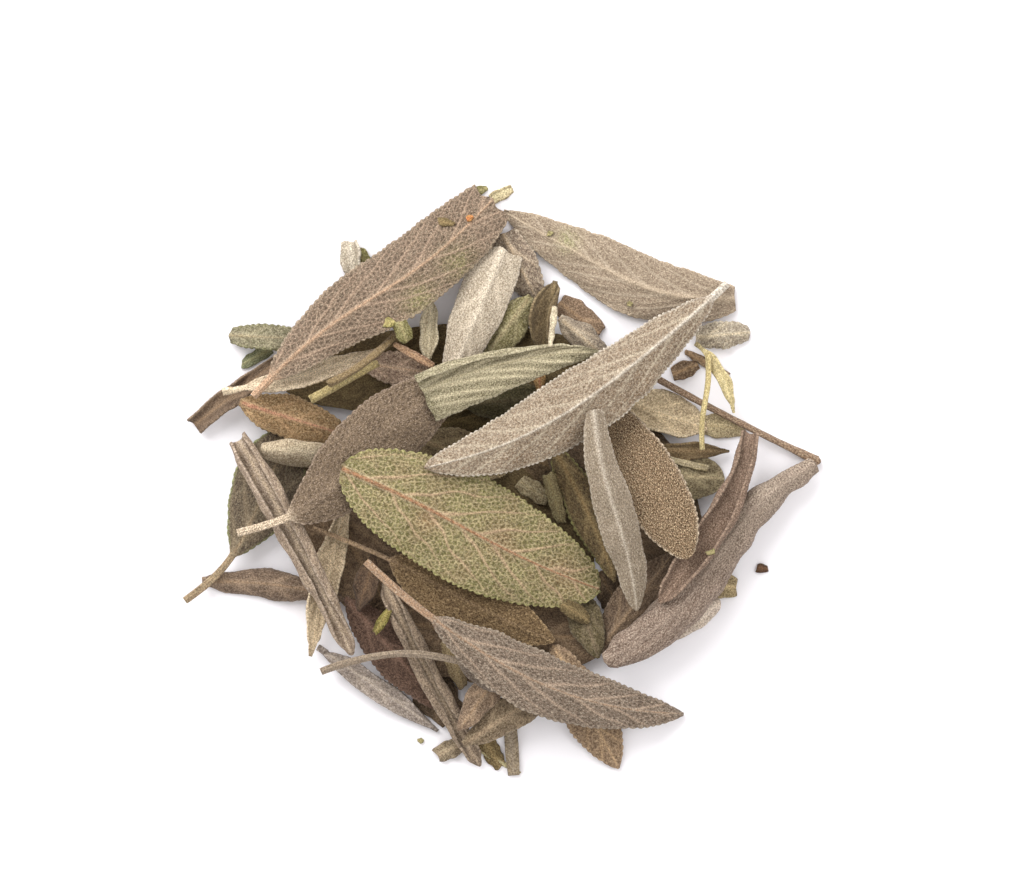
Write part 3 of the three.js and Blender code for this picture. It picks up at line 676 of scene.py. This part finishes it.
leaf("leaf_curled_top", (7.4, 34), (5, 21.5), grey_felt, FELTED, grain=0.34,
     tone=(0.61, 0.57, 0.43), shape=SCROLLED | dict(stations=9, width=8, left=4.2, right=1.2, plain=0.1))
leaf("leaf_folded_top", (8, 27.6), (16.5, 20.5), brown_felt, FELTED, grain=0.34,
     tone=(1.26, 1.49, 1.77), shape=dict(width=6, fold=-0.7))
leaf("leaf_dark_green", (-8.5, 13), (7, 14), green_felt, FELTED, grain=0.38,
     tone=(0.37, 0.35, 0.39), shape=dict(width=6.6))
leaf("leaf_olive_centre", (-16.5, 7.4), (-1, 1), olive_felt, PEBBLED, grain=0.34,
     tone=(1.53, 1.6, 1.97), shape=dict(width=8.4, stations=12, scallop=0.08))
leaf("leaf_beige", (18.5, 13.6), (33.5, 8.6), tan_pleats, FELTED, grain=0.32,
     tone=(1.23, 1.2, 1.29), shape=dict(width=8.2, right=1.4, fullness=0.65))
leaf("leaf_dark_olive_right", (23, 5), (37.2, 4.9), olive_felt, FELTED, grain=0.38,
     tone=(0.84, 0.8, 0.88), shape=dict(width=3.6, left=1.3, right=1.3))
leaf("leaf_small_twisted", (-23.6, -12.8), (-26, -22.5), brown_felt, FELTED, grain=0.38,
     tone=(0.37, 0.34, 0.34), shape=dict(width=4.2, twist=1.2, left=0.6))
leaf("leaf_pale_flat", (-49.3, 15.1), (-22.5, 22.4), pale_felt, FELTED, grain=0.32,
     tone=(1.16, 1.1, 1.1),
     shape=dict(width=4.4, stalk=2.5, bow=-0.9, fold=0.2, left=0.6, right=0.3, stations=12))
rod("stalk_gap_lower", (-34, 13.8), (-23, 19.8), straw_stalk, grain=0.38,
    tone=(0.72, 0.68, 0.58), shape=dict(rod=0.75, stations=6, arch=0.5))
rod("stalk_gap_upper", (-31, 16.4), (-19, 25.6), straw_stalk, grain=0.38,
    tone=(0.42, 0.36, 0.34), shape=dict(rod=0.7, stations=6, bow=-0.8))
rod("twig", (24.5, 17.5), (52.5, 3.1), twig_bark, grain=0.38, tone=(0.98, 1.05, 1.14),
    flare=0.5, shape=dict(rod=0.6, stations=10, bow=-0.3, arch=0.5))
leaf("leaf_curved_pale", (31.4, 23.4), (37.9, 11.4), straw_stalk, FELTED, grain=0.38,
     tone=(1, 0.98, 0.9), shape=dict(width=2.8, bow=1, left=1.2, right=1.2, fold=0.1))
rod("stalk_yellow", (33.4, 21.4), (32.4, 5.4), straw_stalk, grain=0.38,
    tone=(0.98, 0.95, 0.85), shape=dict(rod=0.5, stations=8, arch=0.6, sway=0.3))


# The large leaves on top
# Long dried leaves that came down last and show whole. Some lie with the felted upper face up, some
# with the netted underside, and some dried into scrolls.

# The felted outside of a scroll: grey brown with many pale hairs
brown_scroll = sage_finish("brown_scrolled_blade", "#7b6a59", "#544539", "#a39280", "#9a8770", "#a8957c")
# An upper face that rolled under: warm brown grains, paler where the down is left
long_scroll = sage_finish("rolled_under_blade_brown", "#776350", "#46362a", "#ac9a82", "#8f7c68",
                          "#8f7c68", patch="#a2937a", veins=0.3, ribs=0.2, seams=0.1, edge=0.3)
# Short golden down on an olive blade: dark, mottled with gold
olive_top = sage_finish("olive_felted_blade", "#6e5c3d", "#40331f", "#a08c62", "#7c6a46", "#8c7a5c",
                        patch="#7a7040", veins=0.2, ribs=0.3, seams=0.1, painted_grain_light=0.9)
# The thickest down of all: almost white, with little contrast
pale_top = sage_finish("pale_torn_blade", "#b5aa95", "#91856f", "#d2c9b6", "#c9bea8", "#cfc5ae")
# A thin underside: a crisp light net on brown cells, with green left in two places
umber_net = sage_finish("netted_underside_umber", "#7a6856", "#4c3e32", "#a8977f", "#a58d76", "#b89678",
                        patch="#85834e", net=0.6, cell_shade_and_colour=0.5, specks=0.6, hairs=0.5, seams=0.3)
# Matted ash-grey down on brown: dull, with a whitish stalk
ash_felt = sage_finish("felted_blade_ash_brown", "#7a6c5c", "#50453a", "#a3958a", "#8a7c6c", "#c4b8a8",
                       speck=0.24, cell_shade_and_colour=0.75, veins=0.2, ribs=0.05, seams=0.2, painted_grain_light=1.0)
# A pebbled upper face: crisp pale and dark grains, and a margin of white hairs
brown_pebble = sage_finish("felted_blade_warm_brown", "#8a7258", "#3e2c1c", "#d0bc9a", "#8c765c",
                           "#8a745a", speck=0.19, specks=1.0, hairs=0.9, cell_shade_and_colour=0.75, veins=0.1, ribs=0.1,
                           seams=0.0, margin="#c8baa4", edge=0.9, painted_grain_light=1.0)
# A woolly underside: grey, its net and side veins half hidden under hairs
taupe_net = sage_finish("netted_underside_taupe", "#84766a", "#54483c", "#bfb3a2", "#bca894", "#b29479",
                        net=0.35, cell_shade_and_colour=0.55, specks=0.5)
# A blade that rolled up while green: sage green with pale ridges
sage_roll = sage_finish("rolled_blade_sage", "#9a9474", "#5f5a3c", "#d4ceae", "#d8d0ac", "#c9c09a",
                        margin="#d6d0ae", speck=0.22, cell_shade_and_colour=0.5, veins=0.9, edge=0.9)
# A nearly bald underside: olive cells in a pale net, browner spots, an orange-brown midrib
green_net = sage_finish("netted_underside_green", "#827c4c", "#544e30", "#b5a888", "#b89c7c", "#9c6e50",
                        outer="#7f7b48", patch="#8e6c4c", blotch="#86704e", margin="#a8a468",
                        net_tint="#b2a17a", net=0.85, cell_shade_and_colour=0.45, specks=0.5, hairs=0.4, veins=0.8,
                        ribs=0.9)
# Thick white wool: pale, with a whitish midrib and scallops, brown where it wore off and where
# painted shade lies along the lower flank of the centre leaf
long_felt = sage_finish("woolly_blade_pale", "#a8957f", "#7c6650", "#d0c3b0", "#cbbda6", "#ddd3c4",
                        patch="#7a6046", speck=0.22, cell_shade_and_colour=0.45, veins=0.6, ribs=0.9, seams=0.1,
                        margin="#e0d6c6", edge=1.0)
# Fine light wool: an even grey beige with faint lines along the blade
light_felt = sage_finish("woolly_blade_light", "#a0937e", "#74654f", "#cdc2ae", "#b5a892", "#cdc3b0",
                         speck=0.24, veins=0.2, seams=0.3)
leaf("leaf_long_right", (51.6, 2.6), (15.6, -30.8), long_scroll,
     FELTED | dict(pleats=0.05, pebble=0.1, crumple=0.35, slant=4.0), grain=0.25, tone=(1.23, 1.32, 1.58),
     patches=[(0.15, -1.5, 7.0), (0.4, -3.0, 6.0)],
     shape=SCROLLED | dict(width=11.8, bow=0.5, sway=-1.8, widest=0.66, fullness=0.42, cut_base=0.1,
                           left=-2.2, right=-2.2, plain=0.2, arch=2.2, stations=16, unroll=0.1))
# This scroll gets a little painted shade
leaf("leaf_curled_brown", (40.6, 8), (25, -20.8), long_scroll,
     FELTED | dict(pleats=0.05, pebble=0.1, rib_line=-0.5, rib_width=0.6), grain=0.25,
     tone=(1.24, 1.22, 1.36), shade=0.1,
     shape=SCROLLED | dict(width=10, bow=2.3, sway=0.4, widest=0.55, fullness=0.6, cut_base=0.1,
                           plain=0.28, left=4.2, right=3.4, unroll=0.55))
leaf("leaf_olive_felt", (-34, -8.2), (7.4, -27.5), olive_top, PEBBLED | dict(rib_line=-0.2),
     grain=0.24, tone=(1.07, 1.03, 1.24),
     shape=MAIN | dict(width=11, bow=0.3, sway=0.5, stalk=14, stem=0.4, widest=0.46, arch=1.8))
leaf("leaf_pale_top", (-1.5, 39.4), (-11, 16), pale_top, FELTED, grain=0.26,
     tone=(1.03, 1.02, 1.08),
     shape=MAIN | dict(stations=12, width=9, cut_base=0.24, cut_tip=0.96, fold=-0.2, fullness=0.7))
leaf("leaf_pale_roll", (-42.8, 5.2), (-29, 4.2), pale_felt, FELTED, grain=0.32,
     tone=(0.95, 0.91, 0.9),
     shape=SCROLLED | dict(stations=8, width=7, left=-2.4, right=-1.6, plain=0.1, fullness=0.4))
leaf("leaf_green_narrow", (6.6, 6), (17.6, -17.4), green_edged,
     PEBBLED | dict(cell=0.9, pebble=0.2, crenate=0.3), grain=0.27, tone=(1.14, 1.06, 1.08),
     shape=dict(width=6.6, bow=0.8, fold=-0.35, stations=14))
leaf("leaf_rolled_left", (-46.7, 7), (-27.2, -29.9), brown_scroll, FELTED, grain=0.26,
     tone=(1.4, 1.47, 1.59),
     shape=SCROLLED | dict(stations=14, width=10.4, bow=0.7, fullness=0.5, cut_base=0.06, widest=0.42,
                           left=3, right=2.7, plain=0.26, arch=2.5, unroll=-0.6))
leaf("leaf_big_grey", (-43.9, 14.1), (-3.4, 47.8), umber_net,
     NETTED | dict(cell=0.8, slant=2.4, stretch=1.3, spacing=7.5, veins=0.2, rib_line=0.3), grain=0.165,
     tone=(0.94, 0.98, 1.06), patches=[(0.78, -3.5, 3.0), (0.62, -4.5, 3.0)],
     shape=MAIN | dict(width=12.6, bow=0, sway=1.1, stalk=4.2, cut_tip=0.87, widest=0.54, fullness=0.5,
                       fold=-0.08, arch=3.5, wave=0.5))
leaf("leaf_long_stalk", (-32.6, -32.8), (1.6, -35.6), grey_felt, FELTED, grain=0.34,
     tone=(0.61, 0.61, 0.65), shape=dict(width=6, bow=4.6, stalk=23, arch=1.4, stations=12))
leaf("leaf_grey_brown", (-46.6, -9), (-7, 16.6), ash_felt,
     PEBBLED | dict(cell=0.75, stretch=2.2, pebble=0.2, crumple=0.35), grain=0.2, tone=(1.03, 0.99, 0.93),
     shape=MAIN | dict(width=13.4, bow=-1, sway=-1.9, stalk=8.6, fullness=0.66, fold=-0.12, arch=3))
leaf("leaf_brown_felt", (14, 17), (30.1, -13.2), brown_pebble, PEBBLED, grain=0.2,
     tone=(1.09, 1.1, 1.15),
     shape=MAIN | dict(width=10.8, bow=0.2, widest=0.62, fullness=0.56, fold=-0.1, arch=2.6))
leaf("leaf_lower_long", (-24.8, -13.8), (29.4, -40), taupe_net,
     NETTED | dict(cell=0.68, stretch=1.5, slant=3.0, spacing=8.0, net=0.09, veins=0.07, vein_width=0.16,
                   quilt=0.05, rib_line=0.25, rib_width=0.32, crumple=0.35), grain=0.18,
     tone=(0.71, 0.7, 0.7),
     shape=MAIN | dict(width=10.4, bow=-5.6, sway=0.5, stalk=14, fullness=0.7, fold=-0.14, arch=4,
                       wave=0.4))
leaf("leaf_rolled_green", (-15.2, 15), (15.4, 21.8), sage_roll,
     FELTED | dict(pleats=0.05, quilt=0.0, crumple=0.1, veins=0.12, spacing=9.0, slant=6.0, bend=0.0,
                   ragged=0.15), grain=0.2, tone=(0.79, 0.77, 0.82),
     shape=SCROLLED | dict(stations=12, width=11.2, bow=1.6, cut_base=0.36, widest=0.4, fullness=0.8,
                           left=3.4, right=-0.4, plain=0.3, roll=-0.15, arch=2))
leaf("leaf_green_broad", (-28.8, 2), (15, -18.7), green_net,
     NETTED | dict(cell=0.92, crenate=0.4, spacing=7.2, slant=1.5, wander=0.9, rib_width=0.45),
     grain=0.165, tone=(0.93, 0.96, 1.05), patches=[(0.86, 0.5, 3.2), (0.6, 1.5, 3.0), (0.35, -2.0, 2.5)],
     shape=MAIN | dict(stations=18, across=6, width=18.6, bow=-0.3, sway=0.4, widest=0.47, fullness=0.5,
                       fold=0.04, left=-0.25, right=-0.25, arch=3.2, wave=0.5))
leaf("leaf_centre_long", (36.7, 33.6), (-14.8, 2.1), long_felt,
     FELTED | dict(cell=0.8, pebble=0.09, veins=0.09, slant=2.6, spacing=8.0, vein_width=0.2,
                   crenate=0.3, pitch=0.85, rib_line=0.3, rib_width=0.24), grain=0.18,
     tone=(0.79, 0.81, 0.84),
     # The brown patches along its lower flank, turned from the light, are partly painted shade and partly
     # where the wool wore off
     patches=[(0.2, 4.5, 4.0), (0.4, 4.8, 4.5), (0.58, 4.5, 4.0), (0.75, 4.0, 3.0)],
     shape=MAIN | dict(stations=18, width=12.8, bow=4.4, sway=-0.6, stalk=3, widest=0.52, fullness=0.66,
                       fold=-0.42, left=-0.15, right=-0.15, arch=5, wave=0.3))
leaf("leaf_narrow_light", (13.8, 11.8), (21.3, -22.2), light_felt,
     FELTED | dict(quilt=0.03, pleats=0.03, rib_width=0.28, rib_line=0.2, crenate=0.16), grain=0.24,
     tone=(0.83, 0.83, 0.88),
     shape=MAIN | dict(stations=16, width=7.2, bow=-0.2, sway=-0.5, cut_base=0.14, widest=0.6,
                       fullness=0.6, fold=-0.38, arch=3.2))


# The crumbs and small scraps
# Bits that broke off dry leaves and fell in the gaps, on the table and on the leaves. Each is a
# small torn blade or stalk that lies on what is under it, a little way into its felt.
ABOVE_ALL, ON_TABLE, SETTLED, STEEPEST = 40.0, 0.4, 0.24, 0.35
SCRAP_GRAIN, SCRAP_STEM, JUST_BELOW = 0.3, 0.3, 0.02
solids = [node.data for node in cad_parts.values()]
corners = [corner.co for solid in solids for corner in solid.vertices]
firsts = np.cumsum([0] + [len(solid.vertices) for solid in solids]).tolist()
faces = [[first + i for i in face.vertices]
         for first, solid in zip(firsts, solids) for face in solid.polygons]
SURFACE = bvhtree.BVHTree.FromPolygons(corners, faces)


def height_under(x, y, highest):
    """The top of the leaves under a point, in mm, below a given height"""
    start = Vector((x * MM, y * MM, highest * MM))
    while True:
        place, normal, _, _ = SURFACE.ray_cast(start, Vector((0, 0, -1)))
        if place is None:
            return 0.0
        if normal.z > 0:
            return place.z / MM
        start = place - Vector((0, 0, JUST_BELOW * MM))


def scrap(name, base, tip, finish, look, width, tone=(1, 1, 1), under=ABOVE_ALL, shape=()):
    """A small torn blade or stalk, leaned so that it lies on what is under its ends and its middle

    Leaves higher than `under`, in mm, lie on top of it and don't carry it."""
    form = LEAF | dict(width=width, cut_base=0.2, cut_tip=0.85, arch=0.2, wave=0.15) | dict(shape)
    form |= dict(base=base, tip=tip)
    seed = sum(map(ord, name))
    length = leaf_length(form)
    rows, columns = int(length / SCRAP_GRAIN) + 4, 2 * int(width / 2 / SCRAP_GRAIN) + 5
    u = np.linspace(0, 1, rows)[None, :]
    t = np.linspace(-1, 1, columns)[:, None]
    half = half_width(form | dict(stem=SCRAP_STEM), u, FINE_TIP)
    s, w = u * length, t * half
    uneven = 1 + 0.15 * ripple(s, np.sign(t), 2.0, seed)
    y, z, tilt = cross_section(form, u, t, half * uneven)
    height, masks = relief(form, look, s, w, u, half, seed)
    lift = height + form["wave"] * t * t * np.sin(6 * u + seed)
    tear = 0.35 * ripple(0 * s, w, 2.0, seed + 3) * (2 * u - 1)
    points = laid_out(form, u, y - np.sin(tilt) * lift, z + np.cos(tilt) * lift, tear)
    ends = [max(height_under(*point[:2], under) for point in points[:, row]) for row in (1, -2)]
    lean = max(-STEEPEST, min(STEEPEST, (ends[1] - ends[0]) / length))
    points[..., 2] += ends[0] + lean * s
    need = max(height_under(x, y, under) - z for x, y, z in points.reshape(-1, 3)[::2])
    points[..., 2] += need + SETTLED
    piece = shaped_grid(name, points)
    keep_masks(piece.data, masks, z)
    keep_place(piece.data, s, w, seed, tone)
    give_body(piece, finish)
    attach(piece, "root")


scrap("scrap_strip_green", (7.9, 1.1), (10.3, -7.4), tan_pleats, PEBBLED, width=2.6,
      tone=(0.75, 0.75, 0.65), under=8)
scrap("scrap_green_low", (-19.1, -22.1), (-21.7, -26.1), green_felt, PEBBLED, width=1.7,
      tone=(0.9, 0.85, 0.6))
scrap("scrap_beige_right", (33.4, 9.6), (41.8, 8.7), tan_pleats, FELTED, width=4.0,
      tone=(1.1, 1.1, 1.1), under=ON_TABLE)
scrap("scrap_pale_stub", (-1.8, 48.0), (1.8, 49.9), pale_felt, FELTED, width=1.8,
      tone=(1.1, 1.1, 0.95), under=ON_TABLE, shape=dict(left=2, right=2))
scrap("scrap_green_stub", (-4.7, 49.4), (-2.6, 50.0), green_felt, PEBBLED, width=1.6,
      under=ON_TABLE)
scrap("scrap_green_curl", (-25.4, 39.3), (-22.5, 37.1), green_felt, PEBBLED, width=2.6,
      under=ON_TABLE)
scrap("stalk_small_right", (29.0, 3.5), (35.3, 1.9), straw_stalk, BARE, width=1.1,
      tone=(0.62, 0.6, 0.62), under=6, shape=dict(left=1.5, right=1.5))
scrap("scrap_orange", (6.2, 19.4), (6.7, 15.2), rust_net, NETTED, width=2.0, under=8)
scrap("scrap_pale_centre", (3.2, -0.3), (7.8, -3.4), tan_pleats, FELTED, width=3.4, under=8)
scrap("stalk_brown_left", (-18.3, 23.2), (-11.6, 19.4), twig_bark, BARE, width=1.2,
      tone=(0.9, 0.85, 0.85), shape=dict(left=1.5, right=1.5))
scrap("scrap_dark_triangle", (10.3, -21.0), (15.1, -24.1), olive_felt, FELTED, width=3.0,
      tone=(0.8, 0.8, 0.8), under=8)
scrap("scrap_brown_floor", (10.0, 30.3), (16.8, 25.2), brown_felt, FELTED, width=5.0,
      tone=(1.05, 1.05, 1.1), under=ON_TABLE)
scrap("scrap_brown_edge", (29.3, 18.1), (33.6, 19.8), brown_felt, FELTED, width=3.0,
      under=ON_TABLE)
scrap("scrap_brown_thin", (31.7, 21.8), (38.7, 18.2), brown_felt, FELTED, width=1.5,
      under=ON_TABLE)
scrap("scrap_olive_bottom", (-3.5, -43.5), (-0.2, -49.1), olive_felt, FELTED, width=3.4,
      under=ON_TABLE)
scrap("stalk_thin_bottom", (-3.6, -46.2), (3.3, -50.3), straw_stalk, BARE, width=1.0,
      tone=(0.6, 0.6, 0.55), under=ON_TABLE)
scrap("strip_pale_top", (9.1, 29.5), (8.3, 22.8), pale_felt, FELTED, width=1.2)
scrap("scrap_green_gap", (-17.4, 26.9), (-15.9, 23.5), green_felt, PEBBLED, width=3.2)
scrap("crumb_olive_grey", (-10.8, 44.2), (-8.1, 43.6), olive_felt, PEBBLED, width=1.5)
scrap("crumb_orange_grey", (-6.0, 44.4), (-4.8, 45.1), rust_net, NETTED, width=1.1,
      tone=(1.5, 1.2, 0.9))
scrap("crumb_green_grey", (-20.1, 26.6), (-17.9, 27.1), green_felt, PEBBLED, width=1.7,
      tone=(1.3, 1.25, 1.1))
scrap("crumb_green_floor", (21.4, 30.0), (22.5, 30.3), green_felt, PEBBLED, width=0.8)
scrap("crumb_green_tip", (7.8, 42.0), (8.8, 42.4), green_felt, PEBBLED, width=0.8)
scrap("crumb_olive_right", (34.8, -12.4), (36.1, -12.0), green_felt, PEBBLED, width=0.9)
# The scraps that fill the gaps are toned dark: partly their own brown, partly painted shade of the gaps
scrap("scrap_gap_centre", (-13.0, 8.9), (0.3, 12.3), olive_felt, FELTED, width=8.0,
      tone=(0.6, 0.6, 0.55), under=ON_TABLE)
scrap("scrap_gap_right", (2.8, 4.8), (10.8, 1.1), brown_felt, FELTED, width=6.5,
      tone=(0.55, 0.55, 0.5), under=ON_TABLE)
scrap("scrap_gap_lower", (-14.9, -30.6), (-8.4, -41.1), brown_felt, FELTED, width=8.0,
      tone=(0.5, 0.5, 0.5), under=ON_TABLE)
scrap("scrap_tan_gap", (-9.4, -27.2), (-6.5, -35.7), tan_pleats, FELTED, width=3.2,
      tone=(0.6, 0.55, 0.5), under=4)
scrap("scrap_green_lobe", (-39.7, 22.3), (-44.4, 19.8), green_scrap, NETTED, width=2.4,
      tone=(0.8, 0.8, 0.75), under=2)
# This gap scrap is toned dark too: partly its own brown, partly painted shade of the gap
scrap("scrap_gap_tip", (16.8, -15.9), (20.8, -23.1), brown_felt, FELTED, width=5.0,
      tone=(0.5, 0.5, 0.5), under=ON_TABLE)
scrap("crumb_dark_table", (43.6, -15.1), (45.7, -15.2), brown_felt, FELTED, width=1.7,
      tone=(0.5, 0.4, 0.38), under=ON_TABLE)
scrap("crumb_green_table", (-14.4, -44.5), (-13.3, -44.7), green_felt, PEBBLED, width=0.8,
      under=ON_TABLE)
